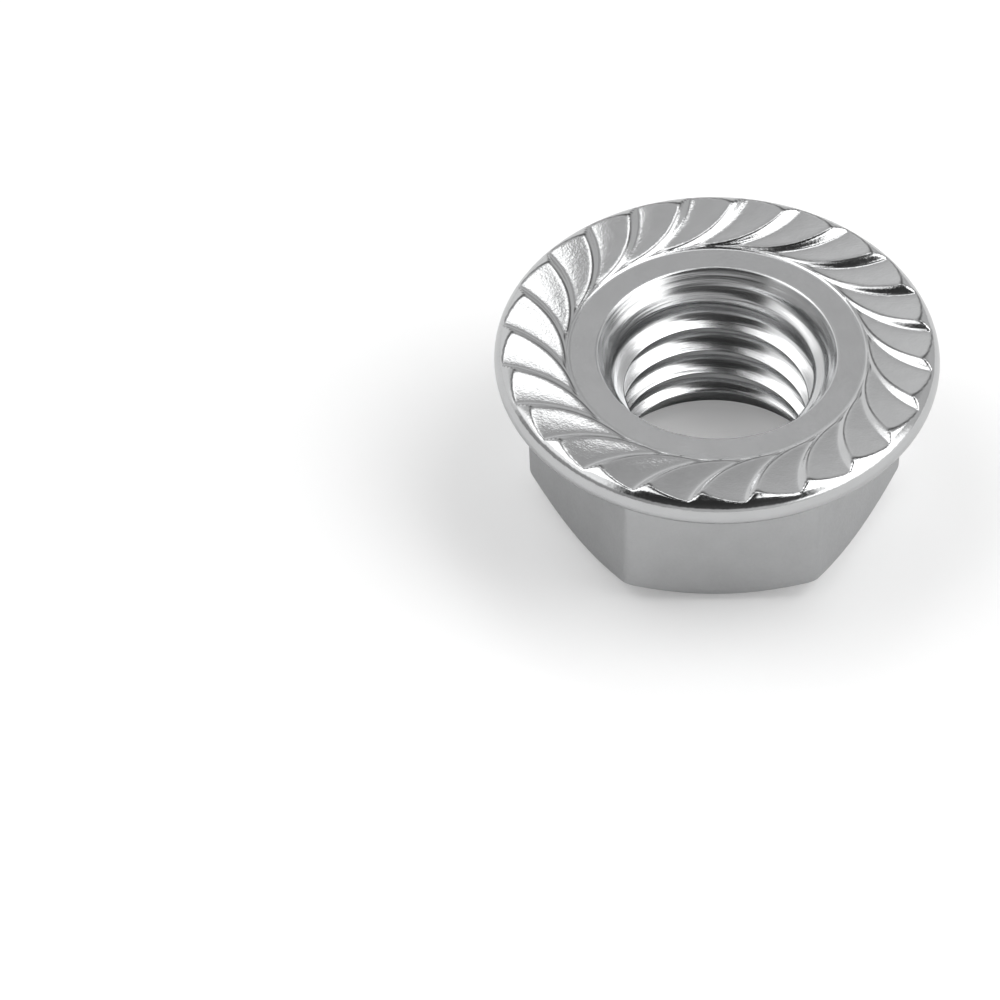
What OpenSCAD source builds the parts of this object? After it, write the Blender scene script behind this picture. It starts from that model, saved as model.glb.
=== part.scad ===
// Serrated flange nut for an M8 x 1.25 bolt, forged in one piece.
// The nut stands on its hexagon, with the toothed side of the flange on top.
// The thread axis is Z, and the origin is the centre of the hexagon's end face.

/* [Hexagon] */
// Height from the end face to the tips of the teeth
nut_height = 7.8; // [7:0.05:10]
// Width across the flats at the end face
flat_width = 12.75; // [11.5:0.05:13.5]
// Lean of each flat in degrees, wider towards the flange
flat_draft = 1; // [0.25:0.25:2]
// Radius of the hexagon's upright edges
corner_radius = 0.4; // [0.1:0.05:0.8]
// Diameter of the flat end face inside the corner chamfer
end_face_d = 11.6; // [10.5:0.1:12.5]
// Angle of the corner chamfer above the end face
end_chamfer_angle = 33; // [15:1:40]

/* [Flange] */
// Largest diameter of the flange
flange_d = 17.4; // [16.6:0.1:19]
// Thickness of the flange's round rim
rim_thickness = 1.5; // [1:0.02:1.8]
// Slope of the flange's conical underside
flange_slope = 22; // [15:1:28]

/* [Bore] */
// Diameter over the crests of the thread
bore_d = 7; // [6.6:0.05:7.4]
// Diameter of the countersink on the toothed side
flange_sink_d = 9.4; // [8.6:0.05:10]
// Diameter of the countersink on the hexagon's end
end_sink_d = 9.3; // [8.4:0.05:10]
// Full angle of both countersinks
sink_angle = 75; // [60:1:100]

/* [Serrations] */
// Number of teeth
tooth_count = 24; // [18:1:30]
// Height of the teeth at the rim
tooth_height = 0.24; // [0.15:0.01:0.3]
// Rise of the feet of the teeth from the smooth ring to the rim
face_rise = 0.16; // [0.05:0.01:0.3]
// Slope of a tooth's long back in degrees
tooth_slope = 8.25; // [6:0.25:9]
// Slope of a tooth's short face in degrees
tooth_face = 35; // [30:1:60]
// Radius of the arc that a tooth follows from the rim to the smooth ring
tooth_arc_r = 4.2; // [3.6:0.1:5]
// Turn of the whole pattern in degrees
tooth_turn = -0.7; // [-7.5:0.1:7.5]
// Outer diameter of the smooth ring inside the teeth
ring_d = 11.6; // [11:0.1:12.4]
// Step from the smooth ring up to the foot of the teeth
ring_step = 0.05; // [0.04:0.01:0.12]
// Gap between the smooth ring and the inner end of the teeth
tooth_gap = 0.1; // [0.05:0.01:0.2]

/* [Hidden] */
$fn = 96;
// How far a cutting solid reaches past what it cuts
over = 1;
flange_r = flange_d / 2;
rim_r = rim_thickness / 2;
// Centre of the round of the rim
rim_x = flange_r - rim_r;
rim_z = nut_height - rim_r;
// Height of the inner feet of the teeth and of the smooth ring
foot_z = nut_height - tooth_height - face_rise;
ring_z = foot_z - ring_step;
// Where the cone under the flange leaves the round of the rim
cone_r = rim_x + rim_r * sin(flange_slope);
cone_z = rim_z - rim_r * cos(flange_slope);
// Where a tooth's arc starts and where its axis stands
tooth_start_r = ring_d / 2 + tooth_gap;
tooth_axis_r = tooth_start_r + tooth_arc_r;
// Tilt of the plane of a tooth's arc that lifts its foot by the rise where the rim begins
face_tilt = atan(face_rise / (tooth_arc_r * (1 - cos(arc_angle(rim_x)))));
// Angles at the arc's axis: the whole arc up to the rim, and the room at both ends of the cut
arc_span = arc_angle(flange_r);
inner_room = 2;
outer_room = 12;
// Clearance above the tips of the teeth where the cut of one tooth space ends
tip_room = 0.1;

// Half the width across the flats at a height
function flat_r(z) = flat_width / 2 + z * tan(flat_draft);
// Angle at the arc's axis from the start of a tooth's arc to where it reaches a radius
function arc_angle(r) = acos(
    (pow(tooth_axis_r, 2) + pow(tooth_arc_r, 2) - pow(r, 2)) / (2 * tooth_axis_r * tooth_arc_r)
);
// Height of the cone under the flange at a radius
function cone_at(r) = cone_z - (cone_r - r) * tan(flange_slope);

// The hexagon with rounded upright edges, its corners chamfered by a cone at the end face
module hexagon() {
    intersection() {
        linear_extrude(height = rim_z, scale = flat_r(rim_z) / flat_r(0))
            offset(r = corner_radius, $fn = 48)
                circle(r = (flat_r(0) - corner_radius) / cos(30), $fn = 6);
        cylinder(
            h = rim_z,
            r1 = end_face_d / 2,
            r2 = end_face_d / 2 + rim_z / tan(end_chamfer_angle)
        );
    }
}

// Section of the flange: flat top, round rim and conical underside
module flange_section() {
    inner_r = bore_d / 2 - over;
    polygon([
        [inner_r, cone_at(inner_r)],
        [cone_r, cone_z],
        [rim_x, rim_z],
        [rim_x, nut_height],
        [inner_r, nut_height],
    ]);
    translate([rim_x, rim_z]) circle(r = rim_r);
}

// Section of one tooth space, turned about the axis of the tooth's arc:
// its foot line, the long back that rises away from it and the short face
module space_section() {
    back_w = (tooth_height + tip_room) / tan(tooth_slope);
    top = tooth_height + face_rise + over;
    polygon([
        [tooth_arc_r, 0],
        [tooth_arc_r + back_w, tooth_height + tip_room],
        [tooth_arc_r + back_w, top],
        [tooth_arc_r - top / tan(tooth_face), top],
    ]);
}

module tooth_space(i) {
    rotate(tooth_turn + i * 360 / tooth_count)
        translate([tooth_start_r, 0, foot_z])
            rotate([0, -face_tilt, 0])
                translate([tooth_arc_r, 0, 0])
                    rotate(180 - inner_room)
                        rotate_extrude(angle = inner_room + arc_span + outer_room) space_section();
}

// The flange with its first tooth spaces cut, one after the other
module toothed_flange(spaces) {
    if (spaces == 0)
        rotate_extrude() flange_section();
    else
        difference() {
            toothed_flange(spaces - 1);
            tooth_space(spaces - 1);
        }
}

module smooth_ring() {
    translate([0, 0, ring_z]) cylinder(h = nut_height - ring_z + over, d = ring_d);
}

module bore() {
    spread = tan(sink_angle / 2);
    end_sink_h = end_sink_d / 2 / spread;
    flange_sink_h = flange_sink_d / 2 / spread;
    translate([0, 0, -over]) cylinder(h = nut_height + 2 * over, d = bore_d);
    translate([0, 0, -over])
        cylinder(h = end_sink_h + over, r1 = end_sink_d / 2 + over * spread, r2 = 0);
    translate([0, 0, ring_z - flange_sink_h])
        cylinder(h = flange_sink_h + over, r1 = 0, r2 = flange_sink_d / 2 + over * spread);
}

module nut() {
    color("silver")
        difference() {
            union() {
                hexagon();
                difference() {
                    toothed_flange(tooth_count);
                    smooth_ring();
                }
            }
            bore();
        }
}

nut();
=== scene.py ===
"""Serrated flange nut: the forged body, its teeth and thread, the zinc finish and the photo stage."""

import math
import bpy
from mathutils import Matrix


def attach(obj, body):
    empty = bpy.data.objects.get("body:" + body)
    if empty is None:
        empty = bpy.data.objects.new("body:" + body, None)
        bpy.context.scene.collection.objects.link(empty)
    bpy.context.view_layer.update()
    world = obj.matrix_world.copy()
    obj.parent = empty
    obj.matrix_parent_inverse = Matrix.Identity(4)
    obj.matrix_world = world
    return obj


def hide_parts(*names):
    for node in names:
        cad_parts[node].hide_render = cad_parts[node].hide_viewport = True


bl_info = {
    "name": "Serrated flange nut",
    "version": (1, 0, 0),
    "blender": (4, 5, 0),
    "location": "3D View > Sidebar > Flange Nut",
    "description": "Builds a serrated flange nut with its thread, finish and studio stage",
    "category": "Add Mesh",
}

import bmesh
import bpy
from bpy.props import FloatProperty, FloatVectorProperty, IntProperty, PointerProperty
from mathutils import Matrix

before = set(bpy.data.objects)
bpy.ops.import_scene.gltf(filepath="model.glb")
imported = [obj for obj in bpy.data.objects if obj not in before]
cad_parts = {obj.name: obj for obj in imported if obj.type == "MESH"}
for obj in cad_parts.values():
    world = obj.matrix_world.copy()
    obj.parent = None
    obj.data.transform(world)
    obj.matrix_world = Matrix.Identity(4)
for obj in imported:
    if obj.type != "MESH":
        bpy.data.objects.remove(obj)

MM = 0.001
NUT = "flange_nut"
# Attribute that marks where painted shade darkens the colour: a dark line along the sharp edges of the
# teeth
EDGE_SHADE = "edge"
# Slots of the materials on the mesh, in the order in which finish_nut adds them
SIDES, RING, TEETH, BORE, RIM = range(5)
COLUMNS_PER_TOOTH = 20
# Where the columns of one tooth stand, as shares of its pitch: closer together at the steep face
COLUMN_SHARES = (
    0.0, 0.025, 0.05, 0.085, 0.13, 0.175, 0.215, 0.25, 0.285, 0.32,
    0.36, 0.41, 0.48, 0.56, 0.64, 0.72, 0.80, 0.87, 0.93, 0.97,
)
# How softly two surfaces of the nut run into each other, in millimetres
BLEND = 0.03
# The lip where the thread's first turn leaves the countersink, in millimetres: how far it stands in,
# how fast the wall below it moves out again, and for how long
LIP_HEIGHT = 0.03
LIP_RUN_OUT = 0.12
LIP_REACH = 0.6
# Angle up the round of the rim, in degrees, where the rows of the teeth end and those of the rim begin
LAST_TOOTH_TILT = 37
FIRST_RIM_TILT = 32
# Angle below which the rim's columns no longer follow the teeth
EVEN_TILT = -52
# Tangent of half the width of the dark fan in front of the nut, seen from above
FAN_SLOPE = 0.727
# Brightness of the light tent by the height of a direction, from the floor to overhead
RISE = ((0, 0.7), (0.1, 0.72), (0.5, 0.74), (0.7, 0.5), (0.87, 0.42))


def length(name, about, value):
    return FloatProperty(name=name, description=about, default=value * MM, unit="LENGTH", precision=5)


def angle(name, about, value):
    return FloatProperty(
        name=name, description=about, default=math.radians(value), subtype="ANGLE", unit="ROTATION"
    )


class NutSizes(bpy.types.PropertyGroup):
    """Sizes of the nut: those of the solid, with softer edges and the thread that the solid leaves out."""

    nut_height: length("Height", "From the end face to the tips of the teeth", 7.8)
    flat_width: length("Width across flats", "At the end face", 12.75)
    flat_draft: angle("Draft", "Lean of each flat, wider towards the flange", 1)
    corner_radius: length("Corner radius", "Round of the hexagon's upright edges at mid height", 0.4)
    end_face_d: length("End face", "Diameter of the flat end face inside the chamfer", 11.6)
    end_chamfer: angle("End chamfer", "Angle of the corner chamfer above the end face", 33)
    flange_d: length("Flange", "Largest diameter of the flange", 17.4)
    rim_thickness: length("Rim thickness", "Thickness of the round rim", 1.5)
    flange_slope: angle("Underside slope", "Slope of the flange's conical underside", 22)
    fillet: length("Fillet", "Reach of the fillet between hexagon and flange", 0.16)
    flange_sink_d: length("Toothed side countersink", "Its diameter", 9.4)
    end_sink_d: length("End countersink", "Its diameter", 9.3)
    sink_angle: angle("Countersink angle", "Full angle of both countersinks", 66.6)
    sink_round: length("Countersink edge", "Round of the edge between the ring and the countersink", 0.12)
    sink_hollow: length("Countersink hollow", "How far the toothed side's countersink is hollowed", 0.01)
    tooth_count: IntProperty(name="Teeth", description="Number of teeth", default=24, min=12, max=36)
    tooth_height: length("Tooth height", "Height of the teeth at the rim", 0.24)
    face_rise: length("Face rise", "Rise of the feet of the teeth from the smooth ring to the rim", 0.16)
    tooth_slope: angle("Tooth back", "Slope of a tooth's long back", 8.25)
    tooth_face: angle("Tooth face", "Slope of a tooth's short face", 40)
    tooth_arc_r: length("Tooth arc", "Radius of the arc that a tooth follows", 4.2)
    tooth_round: length("Tooth round", "How soft the edges of the teeth are", 0.05)
    tooth_hollow: length("Tooth hollow", "How far the long back of a tooth is hollowed", 0.02)
    # Width of the dark line of painted shade along the edges of the teeth
    edge_width: length("Edge width", "Width of the dark line along the edges of the teeth", 0.05)
    tooth_turn: angle("Turn", "Turn of the whole pattern", -0.7)
    ring_d: length("Smooth ring", "Outer diameter of the smooth ring inside the teeth", 11.6)
    ring_step: length("Ring step", "Step from the ring up to the foot of the teeth", 0.05)
    tooth_gap: length("Tooth gap", "Gap between the ring and the inner end of the teeth", 0.1)
    pitch: length("Pitch", "Rise of the thread in one turn", 1.25)
    crest_d: length("Thread crests", "Diameter over the crests of the thread", 7.2)
    root_d: length("Thread roots", "Diameter at the roots of the thread", 8.4)
    mouth_d: length("Thread mouth", "Diameter at the roots of the first turn", 8.7)
    lip_depth: length("First lip", "Depth of the first turn's lip at the back", 0.7)
    thread_start: angle("Thread start", "Turn of the thread", 71.5)


class NutFinish(bpy.types.PropertyGroup):
    """Colour and gloss of the plated surfaces."""

    tone: FloatVectorProperty(
        name="Plating", description="Colour of the zinc",
        default=(0.66, 0.665, 0.67), subtype="COLOR", size=3, min=0, max=1,
    )
    side_tone: FloatVectorProperty(
        name="Dull plating", description="Colour of the zinc on the forged sides",
        default=(0.58, 0.585, 0.59), subtype="COLOR", size=3, min=0, max=1,
    )
    ring_tone: FloatVectorProperty(
        name="Smooth ring", description="Colour of the zinc on the smooth ring",
        default=(0.59, 0.595, 0.6), subtype="COLOR", size=3, min=0, max=1,
    )
    # Colour of the dark line of painted shade along the sharp edges of the teeth and where they meet the
    # rim
    edge_shade_tone: FloatVectorProperty(
        name="Edges", description="Colour of the dark lines along the sharp edges",
        default=(0.05, 0.05, 0.05), subtype="COLOR", size=3, min=0, max=1,
    )


class StageSettings(bpy.types.PropertyGroup):
    """The floor, the light and the camera."""

    floor_tone: FloatVectorProperty(
        name="Floor", description="Colour of the floor", default=(0.76, 0.76, 0.76), subtype="COLOR",
        size=3, min=0, max=1,
    )
    floor_lift: FloatProperty(
        name="Floor lift", description="White that the camera adds to the floor", default=0.24, min=0, max=1
    )
    side_light: FloatProperty(
        name="Side light", description="Strength of the bright sides of the tent", default=1.1, min=0, max=4
    )
    view_turn: angle("View turn", "Turn of the camera and the lights about the nut", -1.2)
    camera_pitch: angle("Camera pitch", "How far the camera looks down", 46.011)
    camera_x: length("Camera X", "Sideways place of the camera", -8.473)
    camera_y: length("Camera Y", "Place of the camera in front of the nut", -251.38)
    camera_z: length("Camera Z", "Height of the camera", 259.48)
    lens: FloatProperty(name="Lens", description="Focal length in millimetres", default=328.45, min=10)


# Shapes, with all lengths in millimetres


def in_mm(group):
    """The group's values as a plain dictionary, lengths in millimetres and angles in radians."""
    values = {}
    for key, prop in group.bl_rna.properties.items():
        if key in ("rna_type", "name"):
            continue
        value = getattr(group, key)
        values[key] = value / MM if getattr(prop, "unit", "") == "LENGTH" else value
    return values


def clamp(value):
    return max(0, min(1, value))


def soft_min(a, b, width):
    return (a + b - math.sqrt((a - b) ** 2 + width * width)) / 2


def soft_max(a, b, width):
    return (a + b + math.sqrt((a - b) ** 2 + width * width)) / 2


class Shape:
    """The nut's surfaces as functions of the angle about its axis."""

    def __init__(self, sizes):
        for key, value in in_mm(sizes).items():
            setattr(self, key, value)
        self.flange_r = self.flange_d / 2
        self.rim_r = self.rim_thickness / 2
        self.rim_x = self.flange_r - self.rim_r
        self.rim_z = self.nut_height - self.rim_r
        self.foot_z = self.nut_height - self.tooth_height - self.face_rise
        self.ring_z = self.foot_z - self.ring_step
        self.cone_r = self.rim_x + self.rim_r * math.sin(self.flange_slope)
        self.cone_z = self.rim_z - self.rim_r * math.cos(self.flange_slope)
        self.axis_r = self.ring_d / 2 + self.tooth_gap + self.tooth_arc_r
        self.spread = math.tan(self.sink_angle / 2)
        self.columns = self.tooth_count * COLUMNS_PER_TOOTH
        self.tooth_pitch = 2 * math.pi / self.tooth_count
        self.arc_span = math.acos(
            (self.axis_r**2 + self.tooth_arc_r**2 - self.flange_r**2) / (2 * self.axis_r * self.tooth_arc_r)
        )
        # Turn of the last row of the teeth against the first
        last_r = self.rim_x + self.rim_r * math.cos(math.radians(LAST_TOOTH_TILT))
        self.last_sweep = self.sweep_at(last_r)

    def top_sink_r(self, z):
        """Radius of the countersink on the toothed side, slightly hollow from the ring to the crests."""
        depth = self.ring_z - z
        share = clamp(depth * self.spread / (self.flange_sink_d - self.crest_d) * 2)
        return self.flange_sink_d / 2 - depth * self.spread + 4 * self.sink_hollow * share * (1 - share)

    def end_sink_r(self, z):
        return self.end_sink_d / 2 - z * self.spread

    def cone_at(self, r):
        return self.cone_z - (self.cone_r - r) * math.tan(self.flange_slope)

    def hexagon_r(self, turn, z):
        """Distance from the axis to the hexagon's side, with its upright edges rounded."""
        half = self.flat_width / 2 + z * math.tan(self.flat_draft)
        sixth = math.pi / 3
        off = (turn - sixth / 2) % sixth
        off = off - sixth if off > sixth / 2 else off
        # The edges are rounder at the end face than under the flange
        edge = self.corner_radius * (1.6 - 1.2 * clamp(z / self.cone_z))
        centre = (half - edge) / math.cos(sixth / 2)
        if abs(off) <= math.atan(centre * math.sin(sixth / 2) / half):
            return half / math.cos(off)
        beside = sixth / 2 - abs(off)
        return centre * math.cos(beside) + math.sqrt(edge**2 - (centre * math.sin(beside)) ** 2)

    def root_corner(self, turn):
        """Where the side of the hexagon meets the cone under the flange."""
        z = self.cone_at(self.flat_width / 2)
        for _ in range(6):
            r = self.hexagon_r(turn, z)
            z = self.cone_at(r)
        return r, z

    def chamfer_corner(self, turn):
        """Where the side of the hexagon meets the chamfer above the end face."""
        z = 0
        for _ in range(6):
            r = self.hexagon_r(turn, z)
            z = (r - self.end_face_d / 2) * math.tan(self.end_chamfer)
        return r, z

    def tooth_height_at(self, r, turn):
        """Height of the teeth over their feet, with soft crests, and how far the crest is away."""
        x, y = r * math.cos(turn), r * math.sin(turn)
        step = (turn - self.tooth_turn - self.sweep_at(r)) / self.tooth_pitch
        low = math.floor(step + 1e-9)
        gaps = []
        for i in (low, low + 1):
            at = self.tooth_turn + i * self.tooth_pitch
            far = math.hypot(x - self.axis_r * math.cos(at), y - self.axis_r * math.sin(at))
            gaps.append(far - self.tooth_arc_r)
        back, face = math.tan(self.tooth_slope), math.tan(self.tooth_face)
        rise = soft_max(-gaps[0] * face, gaps[0] * back, self.tooth_round)
        fall = soft_max(gaps[1] * back, -gaps[1] * face, self.tooth_round)
        width = gaps[1] - gaps[0]
        back_width = width * face / (back + face)
        share = clamp(gaps[1] / back_width)
        hollow = 4 * self.tooth_hollow * share * (1 - share) * back_width * back / self.tooth_height
        return soft_min(rise, fall, self.tooth_round * 1.4) - hollow, abs(gaps[1] - back_width)

    def foot_at(self, r):
        """Height of the feet of the teeth, which rise towards the rim."""
        run = 1 - math.cos(self.arc_angle(r))
        return self.foot_z + self.face_rise * run / (1 - math.cos(self.arc_angle(self.rim_x)))

    def arc_angle(self, r):
        cosine = (self.axis_r**2 + self.tooth_arc_r**2 - r * r) / (2 * self.axis_r * self.tooth_arc_r)
        return math.acos(max(-1, min(1, cosine)))

    def arc_point(self, t):
        return (self.axis_r - self.tooth_arc_r * math.cos(t), -self.tooth_arc_r * math.sin(t))

    def sweep_at(self, r):
        """How far a tooth has turned about the nut's axis where its arc reaches a radius."""
        x, y = self.arc_point(self.arc_angle(r))
        return math.atan2(y, x)

    def rim_height(self, r):
        """Height of the flange's top, which falls along the round of the rim."""
        if r <= self.rim_x:
            return self.nut_height + 0.02
        return self.rim_z + math.sqrt(max(0, self.rim_r**2 - (r - self.rim_x) ** 2))

    def column_turn(self, turn, share):
        """Moves a column from its even place to its place in the tooth, by a share."""
        step = turn / self.tooth_pitch
        tooth = math.floor(step + 1e-6)
        column = round((step - tooth) * COLUMNS_PER_TOOTH)
        target = (tooth + COLUMN_SHARES[column % COLUMNS_PER_TOOTH]) * self.tooth_pitch
        return turn + (target - turn) * share

    def first_turn(self, turn, z):
        """Where the first turn runs out in the countersink: a lip and a steeper wall below it."""
        away = (turn + math.pi / 2) % (2 * math.pi) - math.pi
        below = self.ring_z - z + self.pitch * away / (2 * math.pi) - self.lip_depth
        run_out = LIP_RUN_OUT * max(0, min(LIP_REACH, below))
        return (run_out - LIP_HEIGHT * clamp(below / LIP_HEIGHT)) * (1 + math.cos(away)) / 2

    def thread_r(self, turn, z):
        """Radius of the thread, cut off by both countersinks."""
        centre = self.pitch * (turn - self.thread_start) / (2 * math.pi)
        off = abs((z - centre + self.pitch / 2) % self.pitch - self.pitch / 2)
        crest = self.crest_d / 2
        # The first turn, down to the lip, has the wider root of the mouth
        wide = clamp(1 - (self.ring_z - z - self.lip_depth) / self.pitch)
        root = (self.root_d + (self.mouth_d - self.root_d) * wide * wide * (3 - 2 * wide)) / 2
        # A wide round root between narrow crests
        hollow = root - (root - crest) * (1 - 2 * off / self.pitch) ** 2.5
        r = soft_max(crest, hollow, BLEND)
        r = soft_max(r, self.top_sink_r(z) + self.first_turn(turn, z), BLEND)
        return soft_max(r, self.end_sink_r(z), BLEND)


def plain_row(r, z):
    return lambda turn: (r, z, turn)


def thread_row(s, z):
    return lambda turn: (s.thread_r(turn, z), z, turn)


def section_rows(s):
    """The rows of the body, from one countersink round to the other, and the heights of the thread."""
    rows = []
    top_r, end_r = s.flange_sink_d / 2, s.end_sink_d / 2
    thread_top = s.ring_z - (top_r - s.mouth_d / 2 - BLEND) / s.spread
    thread_end = (end_r - s.root_d / 2 - BLEND) / s.spread
    # The round between the cone and the ring: its centre lies outside and below the corner
    lean = math.atan(s.spread - 8 * s.sink_hollow * s.spread / (s.flange_sink_d - s.crest_d))
    reach = s.sink_round * math.tan((math.pi / 2 - lean) / 2)
    round_r, round_z = top_r + reach, s.ring_z - s.sink_round
    cone_end = round_z + s.sink_round * math.sin(lean)
    for share in (0, 0.15, 0.3, 0.45, 0.6, 0.75, 0.9):
        z = thread_top + (cone_end - thread_top) * share
        rows.append(thread_row(s, z))
    for share in (0, 0.2, 0.4, 0.6, 0.8, 1):
        tilt = math.pi - lean + (lean - math.pi / 2) * share
        r, z = round_r + s.sink_round * math.cos(tilt), round_z + s.sink_round * math.sin(tilt)
        rows.append(plain_row(r, z))
    for r in (round_r + 0.03, (round_r + s.ring_d / 2) / 2, s.ring_d / 2 - 0.08, s.ring_d / 2 - 0.02):
        rows.append(plain_row(r, s.ring_z))
    rows += tooth_rows(s)
    rows += rim_rows(s)
    rows += hexagon_rows(s)
    for r in (s.end_face_d / 2 - 0.03, (s.end_face_d + s.end_sink_d) / 4, end_r + 0.1, end_r + 0.04):
        rows.append(plain_row(r, 0))
    rows.append(plain_row(end_r + 0.01, 0.003))
    rows.append(plain_row(end_r - 0.018, 0.018))
    for share in (0.06, 0.3, 0.65, 1):
        z = thread_end * share + 0.04 * (1 - share)
        rows.append(thread_row(s, z))
    return rows, thread_top, thread_end


def tooth_rows(s):
    """Rows across the toothed face. They follow the arcs of the teeth."""
    rows = []
    inner_degrees = (0, 4, 7, 10, 13, 16.5, 20, 24, 28, 32, 36, 40, 43.5)
    places = [(math.hypot(*s.arc_point(math.radians(t))), math.radians(t)) for t in inner_degrees]
    places += [(r, s.arc_angle(r)) for r in (7.8, 7.88, 7.96, 8.03, 8.09, 8.14)]
    rim_tilts = (72, 67, 62, 57, 52, 47, 42, LAST_TOOTH_TILT)
    rim_radii = [s.rim_x + s.rim_r * math.cos(math.radians(tilt)) for tilt in rim_tilts]
    places += [(r, s.arc_angle(r)) for r in rim_radii]
    rows.append(plain_row(s.ring_d / 2 + 0.01, s.ring_z + 0.3 * s.ring_step))
    rows.append(plain_row(s.ring_d / 2 + 0.04, s.foot_z))

    def row(r, t):
        x, y = s.arc_point(t)
        sweep = math.atan2(y, x)
        # The columns leave the even places of the ring over the first ten degrees
        share = min(1, t / math.radians(10))

        def at(turn):
            new = s.column_turn(turn, share) + sweep + s.tooth_turn * share
            height, crest_gap = s.tooth_height_at(r, new)
            z = s.foot_at(r) + height
            top = s.rim_height(r)
            # Share of painted shade at this point: a dark line close to each crest and where the teeth run
            # into the top of the rim
            edge = 0
            if t > 0 and z <= top + BLEND:
                edge = max(0, 1 - crest_gap / s.edge_width)
                if r > s.rim_x:
                    edge = max(edge, 1 - 2 * abs(z - top) / s.edge_width)
            return r, min(soft_min(z, top, BLEND), s.nut_height), new, edge

        return at

    return rows + [row(r, t) for r, t in places]


def rim_rows(s):
    """Rows round the rim and along the cone under the flange."""
    rows = []
    last = math.degrees(s.flange_slope) - 90
    for tilt in (FIRST_RIM_TILT, 27, 21, 14, 7, 0, -8, -16, -25, -34, -43, EVEN_TILT, -60, last):
        a = math.radians(tilt)
        r, z = s.rim_x + s.rim_r * math.cos(a), s.rim_z + s.rim_r * math.sin(a)
        share = clamp((tilt - EVEN_TILT) / (FIRST_RIM_TILT - EVEN_TILT))

        def at(turn, r=r, z=z, share=share):
            return r, z, s.column_turn(turn, share) + (s.last_sweep + s.tooth_turn)

        rows.append(at)
    return rows


def hexagon_rows(s):
    """Rows of the cone, the fillet, the sides of the hexagon and the chamfer."""
    # The columns stand evenly here, at the whole step nearest to the turn of the last row of the teeth
    step = 2 * math.pi / s.columns
    even = round((s.last_sweep + s.tooth_turn) / step) * step

    def fillet_ends(turn):
        r, z = s.root_corner(turn)
        low_z = z - s.fillet * 1.1
        return (s.hexagon_r(turn, low_z), low_z), (r, z), (r + s.fillet, s.cone_at(r + s.fillet))

    def cone_row(share):
        def at(turn):
            new = turn + even
            high = fillet_ends(new)[2]
            r = s.cone_r + (high[0] - s.cone_r) * share
            return r, s.cone_at(r), new

        return at

    def fillet_row(share):
        def at(turn):
            new = turn + even
            low, mid, high = fillet_ends(new)
            a, b, c = (1 - share) ** 2, 2 * share * (1 - share), share**2
            return a * high[0] + b * mid[0] + c * low[0], a * high[1] + b * mid[1] + c * low[1], new

        return at

    def side_row(share):
        def at(turn):
            new = turn + even
            low = fillet_ends(new)[0]
            end = s.chamfer_corner(new)[1] + 0.05
            z = low[1] + (end - low[1]) * share
            return s.hexagon_r(new, z), z, new

        return at

    def edge_row(share):
        def at(turn):
            new = turn + even
            r, z = s.chamfer_corner(new)
            if share == 0:
                return r - 0.012, z + 0.004, new
            back = 0.05 + (r - s.end_face_d / 2 - 0.05) * (share - 0.01)
            return r - back, z - back * math.tan(s.end_chamfer), new

        return at

    rows = [cone_row(0.33), cone_row(0.66), cone_row(0.95)]
    rows += [fillet_row(share) for share in (0, 0.12, 0.27, 0.42, 0.58, 0.73, 0.88, 1)]
    rows += [side_row(share) for share in (0.05, 0.35, 0.65, 0.95, 1)]
    rows += [edge_row(share) for share in (0, 0.01, 0.5, 0.96)]
    return rows


def spin_round(bm, s, section, rise):
    """Spins a section across one tooth, then repeats that sector all round. It climbs by rise in a turn."""
    bmesh.ops.spin(
        bm, geom=section, cent=(0, 0, 0), axis=(0, 0, 1), dvec=(0, 0, rise / s.columns),
        angle=s.tooth_pitch, steps=COLUMNS_PER_TOOTH, use_merge=False, use_duplicate=False,
    )
    bmesh.ops.spin(
        bm, geom=bm.verts[:] + bm.edges[:] + bm.faces[:], cent=(0, 0, 0), axis=(0, 0, 1),
        dvec=(0, 0, rise / s.tooth_count), angle=2 * math.pi - s.tooth_pitch, steps=s.tooth_count - 1,
        use_merge=False, use_duplicate=True,
    )
    bmesh.ops.remove_doubles(bm, verts=bm.verts, dist=1e-4)


def spin_body(s):
    """Spins the section about the axis and sets every point to its place on the nut."""
    rows, thread_top, thread_end = section_rows(s)
    bm = bmesh.new()
    number = bm.verts.layers.int.new("row")
    edge = bm.verts.layers.float.new(EDGE_SHADE)
    section = []
    for i, row in enumerate(rows):
        r, z = row(0)[:2]
        vert = bm.verts.new((r, 0, z))
        vert[number] = i
        section.append(vert)
    edges = [bm.edges.new(pair) for pair in zip(section, section[1:])]
    spin_round(bm, s, section + edges, 0)
    step = 2 * math.pi / s.columns
    for vert in bm.verts:
        column = round(math.atan2(vert.co.y, vert.co.x) / step)
        r, z, turn, *mark = rows[vert[number]](column * step)
        vert.co = (r * math.cos(turn), r * math.sin(turn), z)
        # The share of painted shade along the teeth's edges, which only the rows of the teeth give
        vert[edge] = mark[0] if mark else 0
    return bm, thread_top, thread_end


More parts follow.
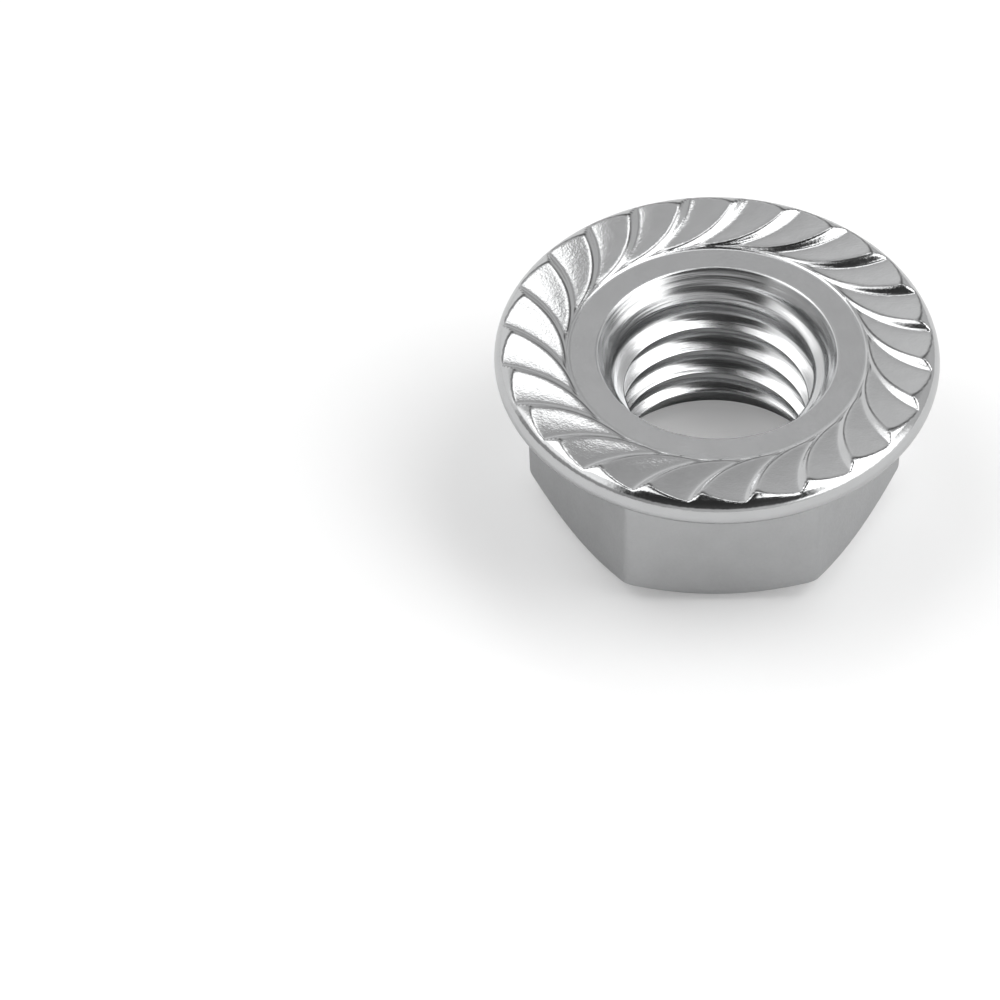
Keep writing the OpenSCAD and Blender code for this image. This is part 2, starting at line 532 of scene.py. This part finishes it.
def screw_thread(s, thread_top, thread_end):
    """Screws the section of the thread up the bore and trims it to the countersinks."""
    offs = (0, 0.02, 0.045, 0.08, 0.13, 0.2, 0.29, 0.39, 0.5)
    pitch_rows = sorted({o for off in offs for o in (off, -off)} | {s.pitch / 2})
    turns = math.ceil((thread_top - thread_end) / s.pitch) + 1
    start = s.pitch * math.floor(thread_end / s.pitch) - s.pitch * (1 + s.thread_start / (2 * math.pi))
    bm = bmesh.new()
    section = [
        bm.verts.new((s.crest_d / 2, 0, start + turn * s.pitch + off))
        for turn in range(turns + 2)
        for off in pitch_rows
    ]
    edges = [bm.edges.new(pair) for pair in zip(section, section[1:])]
    spin_round(bm, s, section + edges, s.pitch)
    outside = [
        face
        for face in bm.faces
        if all(vert.co.z >= thread_top for vert in face.verts)
        or all(vert.co.z <= thread_end for vert in face.verts)
    ]
    bmesh.ops.delete(bm, geom=outside, context="FACES")
    for vert in bm.verts:
        turn = math.atan2(vert.co.y, vert.co.x)
        z = max(thread_end, min(thread_top, vert.co.z))
        r = s.thread_r(turn, z)
        vert.co = (r * math.cos(turn), r * math.sin(turn), z)
    bmesh.ops.remove_doubles(bm, verts=bm.verts, dist=1e-4)
    return bm


def region(s, face):
    """The slot of the material that a face gets."""
    centre = face.calc_center_median()
    r, z = math.hypot(centre.x, centre.y), centre.z
    if r < s.end_sink_d / 2 or (r < s.ring_d / 2 and 0.02 < z < s.ring_z - 0.02):
        return BORE
    if z > s.cone_z and r < s.ring_d / 2:
        return RING
    if r > s.rim_x and abs(math.hypot(r - s.rim_x, z - s.rim_z) - s.rim_r) < 0.006:
        return RIM
    if z > s.cone_z and r > s.ring_d / 2:
        return TEETH
    return SIDES


def nut_mesh(s):
    body, thread_top, thread_end = spin_body(s)
    thread = screw_thread(s, thread_top, thread_end)
    mesh = bpy.data.meshes.new(NUT)
    thread.to_mesh(mesh)
    thread.free()
    body.from_mesh(mesh)
    bmesh.ops.remove_doubles(body, verts=body.verts, dist=2e-4)
    bmesh.ops.recalc_face_normals(body, faces=body.faces)
    for face in body.faces:
        face.smooth = True
        face.material_index = region(s, face)
    bmesh.ops.scale(body, vec=(MM, MM, MM), verts=body.verts)
    open_edges = [edge for edge in body.edges if not edge.is_manifold]
    if open_edges:
        raise RuntimeError(f"the nut has {len(open_edges)} open edges")
    body.verts.layers.int.remove(body.verts.layers.int["row"])
    body.to_mesh(mesh)
    body.free()
    return mesh


# Finish


def node(tree, kind, **values):
    made = tree.nodes.new(kind)
    for key, value in values.items():
        setattr(made, key, value)
    return made


def plated(name, tone, edge_shade_tone, rough, grain, relief, waves=0, turned=0):
    """Bright zinc: rough is its lowest and highest roughness, grain its specks per metre, relief their
    height. Waves adds broader dents with that share of the specks' slope. With turned above 0 everything
    is drawn out round the axis by that factor, as a tool leaves it."""
    material = bpy.data.materials.new(name)
    material.use_nodes = True
    tree = material.node_tree
    tree.nodes.clear()
    link = tree.links.new
    out = node(tree, "ShaderNodeOutputMaterial")
    shader = node(tree, "ShaderNodeBsdfPrincipled")
    shader.inputs["Metallic"].default_value = 1
    place = node(tree, "ShaderNodeTexCoord").outputs["Object"]
    if turned:
        split = node(tree, "ShaderNodeSeparateXYZ")
        flat = node(tree, "ShaderNodeVectorMath", operation="MULTIPLY")
        flat.inputs[1].default_value = (1, 1, 0)
        radius = node(tree, "ShaderNodeVectorMath", operation="LENGTH")
        rings = node(tree, "ShaderNodeCombineXYZ")
        drawn = node(tree, "ShaderNodeVectorMath", operation="MULTIPLY_ADD")
        drawn.inputs[1].default_value = (1 / turned, 1 / turned, 1 / turned)
        link(place, split.inputs["Vector"])
        link(place, flat.inputs[0])
        link(flat.outputs["Vector"], radius.inputs[0])
        link(radius.outputs["Value"], rings.inputs["X"])
        link(split.outputs["Z"], rings.inputs["Z"])
        link(place, drawn.inputs[0])
        link(rings.outputs["Vector"], drawn.inputs[2])
        place = drawn.outputs["Vector"]
    speckle = node(tree, "ShaderNodeTexNoise")
    speckle.inputs["Scale"].default_value = grain
    speckle.inputs["Detail"].default_value = 4
    cloud = node(tree, "ShaderNodeTexNoise")
    cloud.inputs["Scale"].default_value = grain / 9
    cloud.inputs["Detail"].default_value = 3
    colour = node(tree, "ShaderNodeMix", data_type="RGBA")
    colour.inputs[6].default_value = (*tone, 1)
    colour.inputs[7].default_value = (*(part * 0.88 for part in tone), 1)
    # Painted shade: where the edge attribute is high, the base colour turns to the dark edge colour along
    # the teeth's edges
    marked = node(tree, "ShaderNodeAttribute", attribute_name=EDGE_SHADE)
    edge_shaded = node(tree, "ShaderNodeMix", data_type="RGBA")
    edge_shaded.inputs[7].default_value = (*edge_shade_tone, 1)
    broad = node(tree, "ShaderNodeTexNoise")
    broad.inputs["Scale"].default_value = grain / 4
    height = node(tree, "ShaderNodeMath", operation="MULTIPLY_ADD")
    height.inputs[1].default_value = waves * 4
    gloss = node(tree, "ShaderNodeMapRange")
    gloss.inputs["From Min"].default_value = 0.3
    gloss.inputs["From Max"].default_value = 0.7
    gloss.inputs["To Min"].default_value = rough[0]
    gloss.inputs["To Max"].default_value = rough[1]
    bump = node(tree, "ShaderNodeBump")
    bump.inputs["Strength"].default_value = 1
    bump.inputs["Distance"].default_value = relief * MM
    link(place, speckle.inputs["Vector"])
    link(place, cloud.inputs["Vector"])
    link(cloud.outputs["Fac"], colour.inputs[0])
    link(speckle.outputs["Fac"], gloss.inputs["Value"])
    link(place, broad.inputs["Vector"])
    link(broad.outputs["Fac"], height.inputs[0])
    link(speckle.outputs["Fac"], height.inputs[2])
    link(height.outputs["Value"], bump.inputs["Height"])
    link(marked.outputs["Fac"], edge_shaded.inputs[0])
    link(colour.outputs[2], edge_shaded.inputs[6])
    link(edge_shaded.outputs[2], shader.inputs["Base Color"])
    link(gloss.outputs["Result"], shader.inputs["Roughness"])
    link(bump.outputs["Normal"], shader.inputs["Normal"])
    link(shader.outputs["BSDF"], out.inputs["Surface"])
    return material


def finish_nut(mesh, finish):
    # dark is the colour of the painted shade along the sharp edges, used by every finish
    tone, dark = finish.tone, finish.edge_shade_tone
    mesh.materials.append(plated("forged_sides", finish.side_tone, dark, (0.34, 0.48), 9000, 0.016))
    mesh.materials.append(plated("turned_ring", finish.ring_tone, dark, (0.2, 0.27), 9000, 0.0024))
    mesh.materials.append(plated("coined_teeth", tone, dark, (0.1, 0.2), 12000, 0.0032, waves=0.4))
    mesh.materials.append(plated("cut_bore", tone, dark, (0.18, 0.26), 7000, 0.012, waves=0.3, turned=30))
    mesh.materials.append(plated("coined_rim", tone, dark, (0.08, 0.16), 9000, 0.0022, waves=0.8))


class FLANGE_NUT_OT_add_nut(bpy.types.Operator):
    """Builds the nut with its teeth, thread and finish"""

    bl_idname = "flange_nut.add_nut"
    bl_label = "Add nut"

    def execute(self, context):
        scene = context.scene
        mesh = nut_mesh(Shape(scene.nut_sizes))
        finish_nut(mesh, scene.nut_finish)
        nut = bpy.data.objects.new(NUT, mesh)
        scene.collection.objects.link(nut)
        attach(nut, "root")
        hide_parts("nut")
        return {"FINISHED"}


# Stage


# Softboxes over the nut: centre, size and brightness, in metres, at one height
SOFTBOX_HEIGHT = 0.5
SOFTBOXES = {
    "left_softbox": ((-0.365, 0.045), (0.57, 0.37), 1.35),
    "back_left_softbox": ((-0.011, 0.305), (0.053, 0.17), 1.8),
    "back_right_softbox": ((0.07, 0.275), (0.11, 0.12), 1.8),
    "right_softbox": ((0.36, 0.05), (0.52, 0.4), 2.2),
    "front_right_softbox": ((0.43, -0.22), (0.38, 0.14), 1.7),
}


def softbox(stage, name, centre, size, brightness):
    """A rectangular lamp that faces down. A brightness of 1 is a white panel."""
    lamp = bpy.data.lights.new(name, "AREA")
    lamp.shape = "RECTANGLE"
    lamp.size, lamp.size_y = size
    lamp.energy = brightness * math.pi * size[0] * size[1]
    held = bpy.data.objects.new(name, lamp)
    turn = Matrix.Rotation(stage.view_turn, 4, "Z")
    held.matrix_world = turn @ Matrix.Translation((*centre, SOFTBOX_HEIGHT))
    bpy.context.scene.collection.objects.link(held)


def studio_world(stage):
    """Light tent: bright at both sides, grey behind, dark high in front. The camera itself sees white."""
    world = bpy.data.worlds.new("studio")
    world.use_nodes = True
    bpy.context.scene.world = world
    tree = world.node_tree
    tree.nodes.clear()
    link = tree.links.new
    out = node(tree, "ShaderNodeOutputWorld")
    sky = node(tree, "ShaderNodeBackground")
    sky.inputs["Color"].default_value = (1, 1, 1, 1)
    white = node(tree, "ShaderNodeBackground")
    white.inputs["Color"].default_value = (1, 1, 1, 1)
    mix = node(tree, "ShaderNodeMixShader")
    path = node(tree, "ShaderNodeLightPath")
    place = node(tree, "ShaderNodeTexCoord")
    mapping = node(tree, "ShaderNodeMapping", vector_type="POINT")
    mapping.inputs["Rotation"].default_value = (0, 0, -stage.view_turn)
    split = node(tree, "ShaderNodeSeparateXYZ")
    link(place.outputs["Generated"], mapping.inputs["Vector"])
    link(mapping.outputs["Vector"], split.inputs["Vector"])

    def math_node(operation, *values):
        made = node(tree, "ShaderNodeMath", operation=operation)
        for socket, value in zip(made.inputs, values):
            if isinstance(value, bpy.types.NodeSocket):
                link(value, socket)
            else:
                socket.default_value = value
        return made.outputs["Value"]

    def fade(value, low, high, at_low, at_high):
        made = node(tree, "ShaderNodeMapRange", interpolation_type="SMOOTHSTEP")
        made.inputs["From Min"].default_value = low
        made.inputs["From Max"].default_value = high
        made.inputs["To Min"].default_value = at_low
        made.inputs["To Max"].default_value = at_high
        link(value, made.inputs["Value"])
        return made.outputs["Result"]

    x, y, z = (split.outputs[axis] for axis in "XYZ")
    rise = node(tree, "ShaderNodeValToRGB")
    stops = rise.color_ramp.elements
    stops[0].position, stops[1].position = RISE[0][0], RISE[-1][0]
    for position, _ in RISE[1:-1]:
        stops.new(position)
    for stop, (_, tone) in zip(stops, RISE):
        stop.color = (tone, tone, tone, 1)
    link(z, rise.inputs["Fac"])
    # How far a direction lies outside the dark fan in front, which is 72 degrees wide
    aside = math_node("ABSOLUTE", x)
    fan = math_node("MULTIPLY_ADD", math_node("MINIMUM", y, 0), FAN_SLOPE, aside)
    front = math_node("MAXIMUM", fade(y, 0.3, 0.45, 0.09, 1), fade(fan, 0.12, 0.22, 0, 1))
    kept = math_node("MAXIMUM", front, fade(z, 0.22, 0.38, 0.85, 0))
    plain = math_node("MULTIPLY", rise.outputs["Color"], kept)
    # The bright sides of the tent, which end towards the back and reach lower on the right
    reach = math_node("MULTIPLY_ADD", x, 0.15, y)
    leant = math_node("MULTIPLY_ADD", x, 0.15, z)
    # Near the floor they spread towards the middle of the front
    low_fan = math_node("ADD", fan, fade(z, 0.1, 0.4, 0.4, 0))
    side = math_node("MULTIPLY", fade(low_fan, 0.22, 0.36, 0, 1), fade(reach, 0.15, 0.35, 1, 0))
    side = math_node("MULTIPLY", side, fade(leant, 0.14, 0.28, 0, 1))
    dim_left = math_node("MAXIMUM", fade(x, -0.9, 0.3, 0.4, 1), fade(y, 0.1, 0.4, 0, 1))
    dim_right = math_node("MAXIMUM", fade(x, -0.3, 0.35, 1.2, 0.8), fade(y, 0.1, 0.4, 1, 0))
    plain = math_node("MULTIPLY", plain, math_node("MULTIPLY", dim_left, dim_right))
    side = math_node("MULTIPLY", side, fade(x, -0.5, 0.5, 0.8, 1.2))
    total = math_node("MULTIPLY_ADD", side, stage.side_light, plain)
    link(total, sky.inputs["Strength"])
    link(path.outputs["Is Camera Ray"], mix.inputs["Fac"])
    link(sky.outputs["Background"], mix.inputs[1])
    link(white.outputs["Background"], mix.inputs[2])
    link(mix.outputs["Shader"], out.inputs["Surface"])


def floor_material(stage):
    """Pale matt floor. The camera sees it a little lighter, and its shadow stays."""
    material = bpy.data.materials.new("pale_floor")
    material.use_nodes = True
    tree = material.node_tree
    tree.nodes.clear()
    link = tree.links.new
    out = node(tree, "ShaderNodeOutputMaterial")
    matt = node(tree, "ShaderNodeBsdfDiffuse")
    matt.inputs["Color"].default_value = (*stage.floor_tone, 1)
    lift = node(tree, "ShaderNodeEmission")
    add = node(tree, "ShaderNodeAddShader")
    path = node(tree, "ShaderNodeLightPath")
    amount = node(tree, "ShaderNodeMath", operation="MULTIPLY")
    amount.inputs[1].default_value = stage.floor_lift
    link(path.outputs["Is Camera Ray"], amount.inputs[0])
    link(amount.outputs["Value"], lift.inputs["Strength"])
    link(matt.outputs["BSDF"], add.inputs[0])
    link(lift.outputs["Emission"], add.inputs[1])
    link(add.outputs["Shader"], out.inputs["Surface"])
    return material


def add_floor(stage):
    bm = bmesh.new()
    bmesh.ops.create_grid(bm, x_segments=1, y_segments=1, size=1.5)
    mesh = bpy.data.meshes.new("floor")
    bm.to_mesh(mesh)
    bm.free()
    mesh.materials.append(floor_material(stage))
    floor = bpy.data.objects.new("floor", mesh)
    bpy.context.scene.collection.objects.link(floor)


def add_camera(stage):
    camera = bpy.data.cameras.new("camera")
    camera.lens = stage.lens
    camera.sensor_width = 36
    camera.clip_start = 0.01
    camera.clip_end = 10
    held = bpy.data.objects.new("camera", camera)
    turn = Matrix.Rotation(stage.view_turn, 4, "Z")
    place = Matrix.Translation((stage.camera_x, stage.camera_y, stage.camera_z))
    look = Matrix.Rotation(math.pi / 2 - stage.camera_pitch, 4, "X")
    held.matrix_world = turn @ place @ look
    bpy.context.scene.collection.objects.link(held)
    bpy.context.scene.camera = held


class FLANGE_NUT_OT_set_stage(bpy.types.Operator):
    """Sets the floor, the studio light and the camera"""

    bl_idname = "flange_nut.set_stage"
    bl_label = "Set stage"

    def execute(self, context):
        stage = context.scene.stage_settings
        context.scene.view_settings.view_transform = "Standard"
        add_floor(stage)
        studio_world(stage)
        for name, box in SOFTBOXES.items():
            softbox(stage, name, *box)
        add_camera(stage)
        return {"FINISHED"}


class FLANGE_NUT_PT_panel(bpy.types.Panel):
    """The nut's sizes, finish and stage"""

    bl_idname = "FLANGE_NUT_PT_panel"
    bl_label = "Flange nut"
    bl_space_type = "VIEW_3D"
    bl_region_type = "UI"
    bl_category = "Flange Nut"

    def draw(self, context):
        scene = context.scene
        for group, operator in (
            (scene.nut_sizes, "flange_nut.add_nut"),
            (scene.nut_finish, None),
            (scene.stage_settings, "flange_nut.set_stage"),
        ):
            box = self.layout.box()
            for key in group.bl_rna.properties.keys():
                if key not in ("rna_type", "name"):
                    box.prop(group, key)
            if operator:
                box.operator(operator)


CLASSES = (
    NutSizes,
    NutFinish,
    StageSettings,
    FLANGE_NUT_OT_add_nut,
    FLANGE_NUT_OT_set_stage,
    FLANGE_NUT_PT_panel,
)


def register():
    for cls in CLASSES:
        bpy.utils.register_class(cls)
    bpy.types.Scene.nut_sizes = PointerProperty(type=NutSizes)
    bpy.types.Scene.nut_finish = PointerProperty(type=NutFinish)
    bpy.types.Scene.stage_settings = PointerProperty(type=StageSettings)


def unregister():
    del bpy.types.Scene.stage_settings
    del bpy.types.Scene.nut_finish
    del bpy.types.Scene.nut_sizes
    for cls in reversed(CLASSES):
        bpy.utils.unregister_class(cls)


def main():
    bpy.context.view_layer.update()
    register()
    bpy.ops.flange_nut.set_stage()
    bpy.ops.flange_nut.add_nut()


if __name__ == "__main__":
    main()
